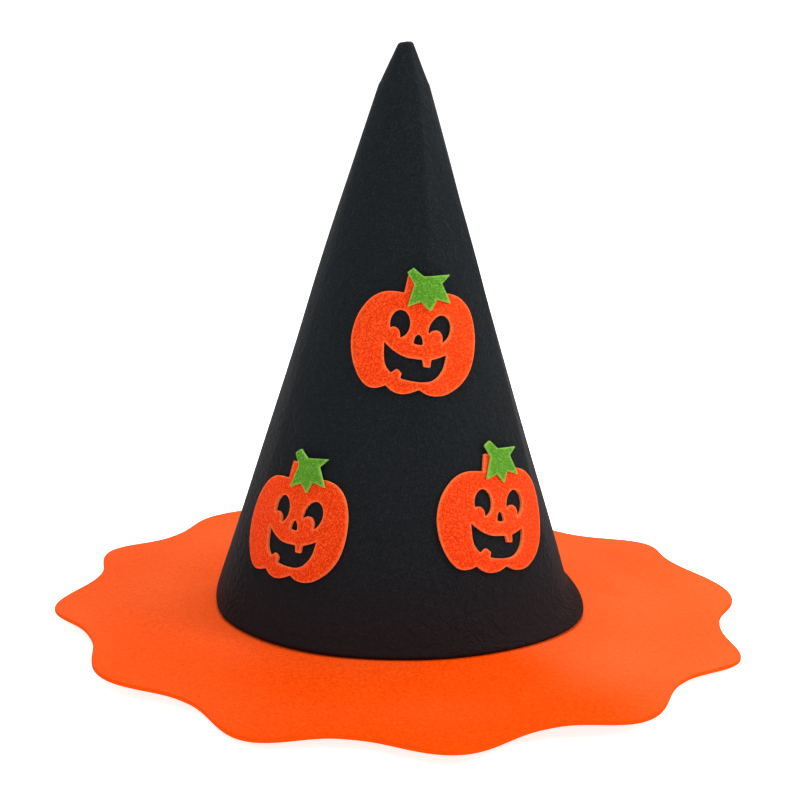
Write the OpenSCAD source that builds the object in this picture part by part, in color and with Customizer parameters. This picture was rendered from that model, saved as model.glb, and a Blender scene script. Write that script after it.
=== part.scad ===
// Costume witch hat: a felt cone on a scalloped felt brim, with three cut-out pumpkins glued
// to the front. Origin on the crown's axis, in the plane that the brim's scallop tips rest on.
// +Z runs up the crown, and the pumpkins face -Y.

/* [Crown] */
// Radius of the crown's outer face where it meets the brim
crown_r = 90.5; // [72:0.5:110]
// Height of the crown above the brim
crown_h = 272; // [225:1:330]
// Height of the blunt end, where the felt's folded layers fill the point
tip_h = 19; // [15:1:24]
// Radius at the foot of the blunt end
tip_foot_r = 11.5; // [9:0.5:14]
// Radius of the flat spot at the very top
tip_r = 3; // [2:0.5:4]
// Bevel around that flat spot
tip_bevel = 2; // [1:0.5:3]
// Thickness of the crown's felt
crown_felt = 1.5; // [1:0.1:2.2]
// Thickness of the stiff interlining behind the felt
interlining = 0.8; // [0.5:0.1:1.2]
// How far below the blunt end's foot the interlining is cut off
interlining_short = 38; // [20:1:60]

/* [Brim] */
// Radius of the brim at the scallops' tips
brim_r = 175; // [150:1:210]
// Depth of the scallops, from tip to valley
scallop_depth = 14; // [8:0.5:20]
// Number of scallops
scallops = 12; // [8:2:18]
// Exponent of the scallops' wave: above 1 narrows the tips and widens the valleys
scallop_shape = 1.2; // [1:0.1:2]
// How far the brim falls from the crown to its tips
brim_fall = 8; // [4:0.5:14]
// Thickness of the brim's felt
brim_felt = 2; // [1.5:0.1:3]
// How far the brim stays level outside the crown's foot
level_past_foot = 1.5; // [0.5:0.5:6]

/* [Head opening] */
// How far the head's opening stands in from the crown's foot
opening_inset = 7.5; // [6:0.5:10]
// Thickness of the sweatband's ribbon
ribbon = 1; // [0.5:0.1:1.5]
// Gap left between the sweatband's top edge and the interlining
band_gap = 0.3; // [0.2:0.1:2]
// Width of the sweatband's flange, sewn under the brim
flange_w = 6; // [5:0.5:7]

/* [Pumpkins] */
// Size of the die-cut pumpkins, as a share of their drawn pattern (61 mm wide, 57 mm tall)
pumpkin_size = 0.98; // [0.8:0.02:1.18]
// Thickness of the pumpkins' felt
pumpkin_felt = 1.5; // [1:0.1:2.2]
// Height of the upper pumpkin's centre
top_pumpkin_z = 148; // [135:1:165]
// Height of the left pumpkin's centre
left_pumpkin_z = 60; // [50:1:75]
// Height of the right pumpkin's centre
right_pumpkin_z = 66; // [50:1:75]

/* [Leaves] */
// Thickness of the leaves' felt
leaf_felt = 1.2; // [0.8:0.1:2]

/* [Small parts] */
// Thickness of the glue dots
glue_t = 0.3; // [0.2:0.05:0.6]
// Width of a stitch's thread
thread_w = 0.6; // [0.4:0.1:1]
// Length of a stitch, as a share of the stitches' pitch
stitch_share = 0.6; // [0.4:0.05:0.8]
// How far a stitch stands out of the cloth
thread_t = 0.4; // [0.2:0.1:0.6]
// Pitch of the stitches
stitch_pitch = 4; // [3:0.5:6]
// Width of the blank care label
label_w = 20; // [12:1:30]
// Height of the blank care label
label_h = 28; // [18:1:40]
// Thickness of the blank care label
label_t = 0.3; // [0.2:0.1:0.6]
// How far the label hangs above the sweatband
label_gap = 2; // [1:0.5:10]
// How far the label's stitches lie below its top edge
label_seam_in = 2; // [1.5:0.5:4]

/* [Hidden] */
$fn = 96;

// Levels
tips_top_z = brim_felt;
seam_z = tips_top_z + brim_fall;
brim_under_z = seam_z - brim_felt;
flange_under_z = brim_under_z - ribbon;
lip_top_z = seam_z + crown_felt;
crown_top_z = seam_z + crown_h;
tip_foot_z = crown_top_z - tip_h;
interlining_top_z = tip_foot_z - interlining_short;

// The crown's straight side: its slope, its half angle and the apex that it points at
side_slope = (crown_r - tip_foot_r) / (tip_foot_z - seam_z);
half_angle = atan(side_slope);
apex_z = seam_z + crown_r / side_slope;

// The sweatband's two faces, and its top, where the cone has closed in to the gap beside it
head_r = crown_r - opening_inset;
band_r = head_r + ribbon;
lining_depth = crown_felt + interlining;
band_top_z = apex_z - (band_r + band_gap + lining_depth / cos(half_angle)) / side_slope;

// Placing of each pumpkin: [turn about the axis, height of its centre, lean in degrees]
TOP_PLACE = [6.5, top_pumpkin_z, -6.5];
LEFT_PLACE = [-41.5, left_pumpkin_z, 3];
RIGHT_PLACE = [37.5, right_pumpkin_z, -9];

// Placing of each leaf on its pumpkin's pattern: [sideways, up, lean]
TOP_LEAF = [-0.3, 1.2, 0];
LEFT_LEAF = [2, 2.3, -5];
RIGHT_LEAF = [-1.2, 1.8, -5];

// Radius of the crown's side at height z, moved out by d square to the felt
function side_r(z, d = 0) = side_slope * (apex_z - z) + d / cos(half_angle);

// A point turned by a degrees
function turned(p, a) = [p.x * cos(a) - p.y * sin(a), p.x * sin(a) + p.y * cos(a)];

// A point of a flat pattern laid on the cone, as [sideways, height] seen square on to the middle
function laid(p, place) =
    let (
        q = turned(p * pumpkin_size, place[2]),
        reach = (apex_z - place[1]) / cos(half_angle),
        slant = norm([q.x, reach - q.y]),
        round_by = atan2(q.x, reach - q.y) / sin(half_angle)
    )
    [slant * sin(half_angle) * sin(round_by), apex_z - slant * cos(half_angle)];

// Point number i of a list, held at its two ends
function held(list, i) = list[min(max(i, 0), len(list) - 1)];

// A smooth open curve through a list of points (Catmull-Rom), without its last point
function curve(list, steps = 4) = [
    for (i = [0 : len(list) - 2], k = [0 : steps - 1])
        let (
            t = k / steps,
            a = held(list, i - 1),
            b = list[i],
            c = list[i + 1],
            d = held(list, i + 2)
        )
        b + t * (c - a) / 2
            + t * t * (a - 2.5 * b + 2 * c - d / 2)
            + t * t * t * (1.5 * (b - c) + (d - a) / 2)
];

// An ellipse as a list of points: centre, half sizes and lean
function ellipse(c, half, lean, n = 28) = [
    for (k = [0 : n - 1]) c + turned([half.x * cos(k * 360 / n), half.y * sin(k * 360 / n)], lean)
];

// Radius of the brim's edge at angle a: a raised cosine wave, its tips 7.5 degrees off the axes
function brim_edge_r(a) =
    brim_r - scallop_depth
        + scallop_depth * pow((1 + cos(scallops * (a - 90 / scallops))) / 2, scallop_shape);

// The pumpkin's flat pattern: three lobes below, two shoulders and a stem, in millimetres
LEFT_LOBE = [
    [-7, 24], [-15.5, 24], [-22.5, 20.5], [-28, 13], [-30.5, 4], [-30.3, -4],
    [-28.3, -11.5], [-24.8, -18], [-20.5, -21.7], [-16, -22], [-12, -20.5]
];
MIDDLE_LOBE = [[-12, -20.5], [-9, -22.8], [-5, -24], [-0.5, -23.4], [4.5, -21]];
RIGHT_LOBE = [
    [4.5, -21], [9, -22.8], [14, -22.8], [19, -20.8], [25, -15.5], [29, -8], [30.4, 2],
    [29.3, 12], [26, 20], [21, 24.5], [15.5, 26.2], [9, 25.8], [2, 23.5]
];
STEM = [[2, 23.5], [1.5, 32.5], [-6, 32.5]];
BODY = concat(curve(LEFT_LOBE), curve(MIDDLE_LOBE), curve(RIGHT_LOBE), STEM);

// The face: each eye is an oval with a round bite, the mouth a crescent with two teeth left in it
LEFT_EYE = ellipse([-7.6, 9.2], [4.9, 6.6], 0);
LEFT_BITE = ellipse([-10.4, 3.2], [3.9, 4], 0);
RIGHT_EYE = ellipse([11.3, 8.7], [5.4, 7], -14);
RIGHT_BITE = ellipse([9.2, 3.5], [4, 4.2], 0);
NOSE = curve([[-0.3, 0.6], [0.2, 3.6], [1.8, 5.2], [3.4, 3.6], [4, 0.6], [1.8, 0.2], [-0.3, 0.6]]);
UPPER_LIP = [[-14.5, 0], [-9.5, -3.8], [-4, -6.2], [2, -6.6], [9, -5.9], [16, -2.8]];
LOWER_LIP = [[16, -2.8], [14.6, -10.5], [9.5, -16.2], [1, -17.4], [-8, -15.6], [-13.4, -10], [-14.5, 0]];
MOUTH = concat(curve(UPPER_LIP), curve(LOWER_LIP));
UPPER_TOOTH = [[4.2, -4.5], [8.4, -4.5], [8.4, -9.8], [5.4, -9.8]];
LOWER_TOOTH = [[-10.2, -14.8], [-7, -12.2], [-4.4, -14.2], [-5.6, -18.5], [-11, -18.5]];

// The leaf's flat pattern: a cut stalk and five points
LEAF = [
    [-3.8, 36.3], [1.3, 32.7], [13.8, 35.2], [9.6, 30.4], [15.5, 21.8], [7.4, 22.5],
    [5.6, 16.6], [1.4, 20.6], [-4.5, 17.3], [-2.5, 28.4], [-6.3, 33.5]
];
LEAF_MIDDLE = [4, 26.5];

// Glue spots on the patterns
PUMPKIN_DOTS = [[-22, 5], [23.5, 4], [-20, -14], [20.5, -13], [2, 20]];
PUMPKIN_DOT_R = 3;
LEAF_DOT = [4.8, 21.2];
LEAF_DOT_R = 1.6;

// Places along the seams
stitch_l = stitch_pitch * stitch_share;
seam_stitches = floor((interlining_top_z - seam_z) / stitch_pitch) - 2;
ring_r = (band_r + side_r(lip_top_z + thread_t, -lining_depth)) / 2;
ring_stitches = floor(2 * PI * ring_r / stitch_pitch);
label_foot_z = band_top_z + label_gap;
label_stitches = floor(label_w / stitch_pitch) - 1;

// A skin on the crown's straight side, between two distances out from the felt's outer face
module skin(from, to, low, high) {
    rotate_extrude()
        polygon([
            [side_r(low, from), low], [side_r(low, to), low],
            [side_r(high, to), high], [side_r(high, from), high]
        ]);
}

// Cuts a flat outline, seen square on at an angle round the crown, out of a skin
module cut_from_skin(angle, from, to) {
    rotate([0, 0, angle])
        intersection() {
            skin(from, to, lip_top_z, tip_foot_z);
            rotate([90, 0, 0])
                linear_extrude(height = crown_r + 10)
                    children();
        }
}

module pattern(points, place) {
    polygon([for (p = points) laid(p, place)]);
}

module pumpkin(place) {
    color("orangered")
        cut_from_skin(place[0], glue_t, glue_t + pumpkin_felt)
            difference() {
                pattern(BODY, place);
                difference() {
                    pattern(LEFT_EYE, place);
                    pattern(LEFT_BITE, place);
                }
                difference() {
                    pattern(RIGHT_EYE, place);
                    pattern(RIGHT_BITE, place);
                }
                pattern(NOSE, place);
                difference() {
                    pattern(MOUTH, place);
                    pattern(UPPER_TOOTH, place);
                    pattern(LOWER_TOOTH, place);
                }
            }
}

// A point of the leaf's pattern, moved and leant about the leaf's middle
function leaf_point(p, leaf) = LEAF_MIDDLE + [leaf[0], leaf[1]] + turned(p - LEAF_MIDDLE, leaf[2]);

module leaf(place, leaf) {
    lift = glue_t + pumpkin_felt + glue_t;
    color("forestgreen")
        cut_from_skin(place[0], lift, lift + leaf_felt)
            pattern([for (p = LEAF) leaf_point(p, leaf)], place);
}

module dots(place, centres, r, from) {
    for (c = centres)
        cut_from_skin(place[0], from, from + glue_t)
            translate(laid(c, place))
                circle(r = r * pumpkin_size, $fn = 32);
}

// The crown: one cone of felt with a blunt point, its foot turned in as a lip that lies on the brim
module crown_shell() {
    color([0.1, 0.1, 0.11])
        rotate_extrude()
            polygon([
                [band_r, seam_z],
                [crown_r, seam_z],
                [tip_foot_r, tip_foot_z],
                [tip_r + tip_bevel, crown_top_z - tip_bevel],
                [tip_r, crown_top_z],
                [0, crown_top_z],
                [0, tip_foot_z],
                [side_r(tip_foot_z, -crown_felt), tip_foot_z],
                [side_r(lip_top_z, -crown_felt), lip_top_z],
                [band_r, lip_top_z]
            ]);
}

// The interlining: a stiff cone behind the felt, cut off short of the point
module crown_interlining() {
    color([0.2, 0.2, 0.21])
        skin(-lining_depth, -crown_felt, lip_top_z, interlining_top_z);
}

// The stitches of the crown's back seam, one under the other
module crown_seam_thread() {
    color([0.06, 0.06, 0.07])
        for (k = [0 : seam_stitches - 1])
            cut_from_skin(180, 0, thread_t)
                translate([-thread_w / 2, seam_z + (k + 1) * stitch_pitch])
                    square([thread_w, stitch_l]);
}

// The brim: a shallow felt cone with a level ring round its hole and a scalloped edge
module brim() {
    level_r = crown_r + level_past_foot;
    color("orangered")
        intersection() {
            rotate_extrude()
                polygon([
                    [band_r, brim_under_z], [level_r, brim_under_z], [brim_r, 0],
                    [brim_r, brim_felt], [level_r, seam_z], [band_r, seam_z]
                ]);
            translate([0, 0, -1])
                linear_extrude(height = seam_z + 2)
                    polygon([for (a = [0 : 1.5 : 358.5]) brim_edge_r(a) * [cos(a), sin(a)]]);
        }
}

// The sweatband: a ribbon that stands in the opening, with a flange under the brim
module sweatband() {
    color([0.12, 0.12, 0.13])
        rotate_extrude()
            polygon([
                [head_r, flange_under_z], [band_r + flange_w, flange_under_z],
                [band_r + flange_w, brim_under_z], [band_r, brim_under_z],
                [band_r, band_top_z], [head_r, band_top_z]
            ]);
}

// The stitches that hold the crown's lip, the brim and the sweatband's flange together
module base_seam_thread() {
    color([0.06, 0.06, 0.07])
        for (k = [0 : ring_stitches - 1], z = [flange_under_z - thread_t, lip_top_z])
            rotate([0, 0, k * 360 / ring_stitches])
                translate([ring_r - thread_w / 2, -stitch_l / 2, z])
                    cube([thread_w, stitch_l, thread_t]);
}

module pumpkin_top() { pumpkin(TOP_PLACE); }
module pumpkin_left() { pumpkin(LEFT_PLACE); }
module pumpkin_right() { pumpkin(RIGHT_PLACE); }
module leaf_top() { leaf(TOP_PLACE, TOP_LEAF); }
module leaf_left() { leaf(LEFT_PLACE, LEFT_LEAF); }
module leaf_right() { leaf(RIGHT_PLACE, RIGHT_LEAF); }

// Hot-melt dots between the crown and the three pumpkins
module pumpkin_glue() {
    color([0.85, 0.82, 0.7])
        for (place = [TOP_PLACE, LEFT_PLACE, RIGHT_PLACE])
            dots(place, PUMPKIN_DOTS, PUMPKIN_DOT_R, 0);
}

// Hot-melt dots between each pumpkin and its leaf
module leaf_glue() {
    color([0.85, 0.82, 0.7])
        for (pair = [[TOP_PLACE, TOP_LEAF], [LEFT_PLACE, LEFT_LEAF], [RIGHT_PLACE, RIGHT_LEAF]])
            dots(pair[0], [leaf_point(LEAF_DOT, pair[1])], LEAF_DOT_R, glue_t + pumpkin_felt);
}

// The blank care label, flat against the interlining at the back, above the sweatband
module care_label() {
    color("white")
        cut_from_skin(180, -lining_depth - label_t, -lining_depth)
            translate([-label_w / 2, label_foot_z])
                square([label_w, label_h]);
}

// The stitches along the label's top edge
module label_thread() {
    depth = -lining_depth - label_t;
    stitch_z = label_foot_z + label_h - label_seam_in;
    color([0.85, 0.85, 0.85])
        for (k = [0 : label_stitches - 1])
            cut_from_skin(180, depth - thread_t, depth)
                translate([(k - (label_stitches - 1) / 2) * stitch_pitch, stitch_z])
                    square([stitch_l, thread_w], center = true);
}

crown_shell();
crown_interlining();
crown_seam_thread();
brim();
sweatband();
base_seam_thread();
pumpkin_top();
pumpkin_left();
pumpkin_right();
leaf_top();
leaf_left();
leaf_right();
pumpkin_glue();
leaf_glue();
care_label();
label_thread();
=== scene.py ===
# %% [markdown]
# # A felt costume witch hat
#
# The hat is a cone of thin black felt that stands on a brim of stiff orange felt with a
# scalloped edge. Three pumpkins, die-cut from red-orange felt, are glued to its front, each
# with a green felt leaf. A stiff interlining holds the cone up from inside, and a grosgrain
# sweatband stands in the opening. All of it is cloth, so every piece is made here as a surface
# worked out with numpy, and laid on one formula for the crown so that the layers always fit.
#
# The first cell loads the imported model, whose boxes give the levels and radii used below.

# %% Load the frame
import math

import bpy
import numpy as np
from mathutils import Matrix, Vector
from mathutils.geometry import delaunay_2d_cdt


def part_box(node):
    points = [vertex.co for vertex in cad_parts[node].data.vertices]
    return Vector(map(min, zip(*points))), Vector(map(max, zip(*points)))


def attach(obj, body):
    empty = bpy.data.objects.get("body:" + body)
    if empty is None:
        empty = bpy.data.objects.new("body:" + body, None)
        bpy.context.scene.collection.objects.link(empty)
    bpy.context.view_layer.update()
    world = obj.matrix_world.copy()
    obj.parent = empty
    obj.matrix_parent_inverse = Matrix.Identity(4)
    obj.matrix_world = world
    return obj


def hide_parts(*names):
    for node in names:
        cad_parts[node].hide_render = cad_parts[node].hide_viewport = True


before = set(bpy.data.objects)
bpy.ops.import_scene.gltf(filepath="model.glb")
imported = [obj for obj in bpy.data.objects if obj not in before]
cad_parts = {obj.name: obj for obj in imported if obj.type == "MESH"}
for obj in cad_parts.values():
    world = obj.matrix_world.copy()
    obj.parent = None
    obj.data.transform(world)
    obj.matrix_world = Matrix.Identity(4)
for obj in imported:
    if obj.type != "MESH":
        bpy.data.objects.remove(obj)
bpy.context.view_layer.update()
print("CAD nodes:", ", ".join(sorted(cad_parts)))

# %% Levels and radii
MM = 0.001

crown_low, crown_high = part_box("crown_shell")
band_low, band_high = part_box("sweatband")

# The crown: the seam at its foot, its flat top, and the ring where the blunt tip begins
SEAM_Z = crown_low[2]
TOP_Z = crown_high[2]
FOOT_R = crown_high[0]
TIP_FOOT_Z = TOP_Z - 19 * MM
TIP_FOOT_R = 11.5 * MM
LINING_TOP_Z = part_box("crown_interlining")[1][2]

# Thicknesses of the cloth
CROWN_FELT = 1.5 * MM
LINING = 0.8 * MM
BRIM_FELT = 2 * MM
RIBBON = 1 * MM

# The sweatband: a wall round the opening and a flange under the brim
BAND_R = 84 * MM
BAND_TOP_Z = band_high[2]
FLANGE_R = band_high[0]
FLANGE_Z = band_low[2]

SLOPE = (FOOT_R - TIP_FOOT_R) / (TIP_FOOT_Z - SEAM_Z)
HALF_ANGLE = math.atan(SLOPE)
APEX_Z = SEAM_Z + FOOT_R / SLOPE
print(f"crown {FOOT_R * 2:.3f} m across, {TOP_Z - SEAM_Z:.3f} m tall, its apex at {APEX_Z:.3f} m")

# %% [markdown]
# ## Camera
#
# The hat is seen from the front and a little above, from 0.88 m away with a short telephoto
# lens. The camera's frame is written as three directions: right, up and ahead.

# %% Camera
DOWN_TILT = math.radians(14.37)
ROLL = math.radians(0.74)
AIM = np.array([-0.9, 0, 108.9]) * MM
DISTANCE = 877.6 * MM
SENSOR_WIDTH = 36
FOCAL_LENGTH = 80.24

right = np.array([1.0, 0.0, 0.0])
up = np.array([0.0, math.sin(DOWN_TILT), math.cos(DOWN_TILT)])
ahead = np.array([0.0, math.cos(DOWN_TILT), -math.sin(DOWN_TILT)])
right, up = (
    right * math.cos(ROLL) + up * math.sin(ROLL),
    up * math.cos(ROLL) - right * math.sin(ROLL),
)
eye = AIM - DISTANCE * ahead

camera_data = bpy.data.cameras.new("camera")
camera_data.sensor_width = SENSOR_WIDTH
camera_data.lens = FOCAL_LENGTH
camera = bpy.data.objects.new("camera", camera_data)
bpy.context.scene.collection.objects.link(camera)
camera.matrix_world = Matrix(
    [[right[i], up[i], -ahead[i], eye[i]] for i in range(3)] + [[0, 0, 0, 1]]
)
bpy.context.scene.camera = camera
print("camera at", np.round(eye, 3))

# %% [markdown]
# ## Helpers for meshes
#
# A surface of revolution, however bent, is a grid: rings of points, one after the other. One
# function joins the rings with quads, and closes the two ends with a fan of triangles or joins
# the last ring to the first. Another turns points and faces into an object.


# %% Rings of points into faces
def ring_faces(rings, around, start=0, ends="open"):
    """Faces between rings of points: point j of ring i is number start + i * around + j. ends is
    'joined' for a closed profile, or 'fans' where one point for each end follows the rings."""
    steps = rings if ends == "joined" else rings - 1
    i, j = np.meshgrid(np.arange(steps), np.arange(around), indexing="ij")
    here, below, after = i * around, (i + 1) % rings * around, (j + 1) % around
    quads = start + np.stack([here + j, below + j, below + after, here + after], -1)
    faces = quads.reshape(-1, 4).tolist()
    if ends == "fans":
        k = np.arange(around)
        pole = np.full(around, rings * around)
        last_ring = (rings - 1) * around
        after = (k + 1) % around
        faces += (start + np.stack([pole, k, after], -1)).tolist()
        faces += (start + np.stack([pole + 1, last_ring + after, last_ring + k], -1)).tolist()
    return faces


def as_object(name, points, faces, sharp=50, **channels):
    """A mesh object, shaded smooth where it turns by less than sharp degrees. Each channel holds
    one value for each point: a pair becomes a UV map in metres, a number becomes an attribute."""
    mesh = bpy.data.meshes.new(name)
    mesh.from_pydata(np.asarray(points, float).reshape(-1, 3).tolist(), [], faces)
    mesh.polygons.foreach_set("use_smooth", np.ones(len(mesh.polygons), bool))
    mesh.set_sharp_from_angle(angle=math.radians(sharp))
    corner = np.empty(len(mesh.loops), np.int32)
    mesh.loops.foreach_get("vertex_index", corner)
    for channel, values in channels.items():
        values = np.asarray(values, float)
        if values.ndim == 2:
            mesh.uv_layers.new(name=channel).data.foreach_set("uv", values[corner].ravel())
        else:
            mesh.attributes.new(channel, "FLOAT", "POINT").data.foreach_set("value", values)
    mesh.update()
    piece = bpy.data.objects.new(name, mesh)
    bpy.context.scene.collection.objects.link(piece)
    print(f"{name}: {len(mesh.vertices)} points, {len(mesh.polygons)} faces")
    return piece


def finish_piece(piece, material, nodes):
    """Gives a piece its material, lets it ride on the hat's one body, and hides the imported parts
    it replaces.
    """
    piece.data.materials.append(material)
    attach(piece, "root")
    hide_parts(*nodes)


# %% [markdown]
# ## Helpers for materials
#
# Colours are written as sRGB hex values and turned into the linear numbers that Cycles adds up.
# A single function adds a node with its settings, its fixed inputs and its links, which keeps
# every material below short enough to read as a recipe.


# %% Colours and nodes
def linear(hex_colour):
    """An sRGB hex colour as linear RGBA: divide by 12.92 below 0.04045, else a power of 2.4."""
    srgb = np.array([int(hex_colour[i : i + 2], 16) / 255 for i in (1, 3, 5)])
    rgb = np.where(srgb <= 0.04045, srgb / 12.92, ((srgb + 0.055) / 1.055) ** 2.4)
    return (*rgb.tolist(), 1.0)


def add_node(material, kind, inputs=None, **settings):
    """Adds one node. settings are its own options, and inputs gives each socket, by name or by
    number, either a fixed value or the output of another node, which is then linked."""
    node = material.node_tree.nodes.new(kind)
    for name, value in settings.items():
        setattr(node, name, value)
    for name, value in (inputs or {}).items():
        if isinstance(value, bpy.types.NodeSocket):
            material.node_tree.links.new(value, node.inputs[name])
        else:
            node.inputs[name].default_value = value
    return node


def empty_material(name):
    """A material whose node tree is still empty."""
    material = bpy.data.materials.new(name)
    material.use_nodes = True
    material.node_tree.nodes.clear()
    return material


def finish_material(material, inputs):
    """Ends a material: one Principled shader with these inputs, joined to the output."""
    shader = add_node(material, "ShaderNodeBsdfPrincipled", inputs)
    add_node(material, "ShaderNodeOutputMaterial", {"Surface": shader.outputs["BSDF"]})
    return material


def per_metre(millimetres):
    """Scale of a noise whose features are this many millimetres across."""
    return 1 / (millimetres * MM)


# %% [markdown]
# ## Felt
#
# Every felt here is needle-punched polyester: loose fibres matted by barbed needles, with no
# weave. The eye gets a matt face, a faint light rim where the loose fibres catch the light from
# the side (sheen), a mottle where fibres lie thicker, and fine streaks of single fibres. Real
# fibres are 0.02 mm thick, far too fine to show, so the streaks are drawn 0.4 mm wide, and 0.9
# mm on the coarser brim. The mottle is drawn at its real size, 0.6 to 1.4 mm. Resin stiffens
# the brim and glues its fuzz down, so its shader has no sheen; its paler sides are painted
# sheen. The cut walls have a colour of their own, lighter on the pumpkins and leaves: a painted
# highlight where the cut edge catches the light.


# %% Fibres and creases
STREAK_LEANS = (0.5, -0.9)
STREAK_STRETCH = 5
LINE_SHARE = 0.3


def fibre_tone(material, place, mottle_mm, fibre_mm):
    """How thick the fibres lie, from 0 to 1: the mean of a mottle and of the higher of two
    streaky noises, each drawn out five times along its own slanting line."""
    mottle = add_node(
        material,
        "ShaderNodeTexNoise",
        {"Vector": place, "Scale": per_metre(mottle_mm), "Detail": 3.0, "Roughness": 0.65},
    )
    streaks = []
    for lean in STREAK_LEANS:
        slant = {"Vector": place, "Rotation": (0, lean, 0.3), "Scale": (STREAK_STRETCH, 1, 1)}
        drawn = add_node(material, "ShaderNodeMapping", slant, vector_type="TEXTURE").outputs[0]
        fibre = {"Vector": drawn, "Scale": per_metre(fibre_mm), "Detail": 2.0, "Distortion": 0.7}
        streaks.append(add_node(material, "ShaderNodeTexNoise", fibre).outputs["Fac"])
    higher = add_node(material, "ShaderNodeMath", dict(enumerate(streaks)), operation="MAXIMUM")
    halves = {0: 0.5, 2: mottle.outputs["Fac"], 3: higher.outputs[0]}
    return add_node(material, "ShaderNodeMix", halves).outputs[0]


def crease_height(material, place):
    """Height of the creases: a soft crumple 5 mm across, plus thin steps where a noise 11 mm
    across passes its middle value, the sum times the attribute crumple of the mesh."""
    crumple, lines = [
        add_node(
            material,
            "ShaderNodeTexNoise",
            {"Vector": place, "Scale": per_metre(size), "Detail": detail, "Distortion": warp},
        ).outputs["Fac"]
        for size, detail, warp in ((5, 3.0, 2.0), (11, 1.5, 1.2))
    ]
    step = add_node(
        material,
        "ShaderNodeMapRange",
        {"Value": lines, "From Min": 0.485, "From Max": 0.515},
        interpolation_type="SMOOTHSTEP",
    )
    summed = {0: step.outputs[0], 1: LINE_SHARE, 2: crumple}
    both = add_node(material, "ShaderNodeMath", summed, operation="MULTIPLY_ADD").outputs[0]
    share = add_node(material, "ShaderNodeAttribute", attribute_name="crumple").outputs["Fac"]
    return add_node(material, "ShaderNodeMath", {0: both, 1: share}, operation="MULTIPLY").outputs[0]


# %% Felt material
MEAN_TONE = 0.53
FUZZ_DEPTH = 0.12 * MM
CREASE_DEPTH = 2.2 * MM


def felt(name, tones, scales, clear, looks, painted=None, crumpled=False):
    """Felt in three tones along the fibre tone: deep between the fibres, body, and pale on top.
    scales are the mottle's size and the fibres' width in millimetres. clear, from 0 to 1, is how
    near each other the tones lie, and so how clearly they part. painted gives, by the name of
    an attribute of the mesh, a colour that covers the felt where the attribute rises to 1."""
    material = empty_material(name)
    place = add_node(material, "ShaderNodeTexCoord").outputs["Object"]
    tone = fibre_tone(material, place, *scales)
    spread = 0.34 - 0.24 * clear
    deep, body, pale = tones
    scale = add_node(material, "ShaderNodeValToRGB", {"Fac": tone})
    stops = scale.color_ramp.elements
    stops[0].position = MEAN_TONE - spread
    stops[0].color = linear(deep)
    stops[1].position = MEAN_TONE + spread
    stops[1].color = linear(pale)
    stops.new(MEAN_TONE).color = linear(body)
    colour = scale.outputs["Color"]
    for attribute, paint in (painted or {}).items():
        share = add_node(material, "ShaderNodeAttribute", attribute_name=attribute)
        covered = {0: share.outputs["Fac"], 6: colour, 7: linear(paint)}
        colour = add_node(material, "ShaderNodeMix", covered, data_type="RGBA").outputs[2]
    relief = add_node(material, "ShaderNodeBump", {"Height": tone, "Distance": FUZZ_DEPTH})
    if crumpled:
        creases = {"Height": crease_height(material, place), "Distance": CREASE_DEPTH}
        relief = add_node(material, "ShaderNodeBump", {**creases, "Normal": relief.outputs[0]})
    return finish_material(material, {"Base Color": colour, "Normal": relief.outputs[0], **looks})


MATT = {"Roughness": 0.95, "Specular IOR Level": 0.04}
FUZZY = {"Roughness": 0.95, "Specular IOR Level": 0.08, "Sheen Roughness": 0.4, "Sheen Weight": 0.04}

# The foot is tinted #1F1010 as painted orange light bounced up from the brim.
black_felt = felt(
    "needle_punched_black_felt", ("#101214", "#15181A", "#282B2E"), (0.6, 0.4), 0.75,
    {**FUZZY, "Specular IOR Level": 0.05, "Sheen Weight": 0.06},
    painted={"lint": "#1F1010"}, crumpled=True,
)
# The brim is painted paler, #E87444, at the sides and behind: painted sheen and light. Its cut
# colour is nearly the body's.
brim_felt = felt(
    "resin_stiffened_orange_felt", ("#C83500", "#DA4000", "#EA4E06"), (1.4, 0.9), 0.8, MATT,
    painted={"nap": "#E87444", "cut": "#DC4200"}, crumpled=True,
)
# Pumpkins and leaves: the cut colour is lighter than the body, a painted highlight where the cut
# edge catches the light.
pumpkin_felt = felt(
    "die_cut_pumpkin_felt", ("#B82A04", "#D83406", "#F25A22"), (0.7, 0.4), 1.0,
    {**FUZZY, "Sheen Tint": linear("#FFD2B4")}, painted={"cut": "#F27A44"},
)
leaf_felt = felt(
    "die_cut_leaf_felt", ("#38700F", "#4A7E20", "#6A9E3A"), (0.7, 0.4), 1.0,
    {**FUZZY, "Sheen Tint": linear("#DFF0B0")}, painted={"cut": "#8CBF4C"},
)

# %% [markdown]
# Orange light bounces off the brim onto the crown's foot, and that bounce is painted: the foot's
# colour is tinted red-brown, and its light rim (sheen) turns from grey to red-orange. How much is
# painted, most at the seam and fading with height, is an attribute of the crown's mesh.

# %% Painted orange bounce light at the foot
# The sheen tint turns from grey to red-orange at the foot: a painted reflection of the orange brim.
lint = add_node(black_felt, "ShaderNodeAttribute", attribute_name="lint").outputs["Fac"]
rim_colours = {0: lint, 6: linear("#C9C8C8"), 7: linear("#D8501C")}
rim = add_node(black_felt, "ShaderNodeMix", rim_colours, data_type="RGBA").outputs[2]
black_shader = black_felt.node_tree.nodes["Principled BSDF"]
black_felt.node_tree.links.new(rim, black_shader.inputs["Sheen Tint"])
print("felts:", black_felt.name, brim_felt.name, pumpkin_felt.name, leaf_felt.name)

# %% [markdown]
# ## Interlining, thread, ribbon, glue and label
#
# The interlining is thermally bonded non-woven: a thin stiff web pressed between hot rollers,
# which leave it smooth with faint flow lines. The thread is spun polyester, twisted, so its
# surface is a fine diagonal cord. Grosgrain is a ribbon with thick weft cords across it, 0.6 mm
# apart, with a low sheen on each cord. Hot melt is a milky, slightly amber resin. The label is
# white satin: fine threads across it give it a soft streak of light.


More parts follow.
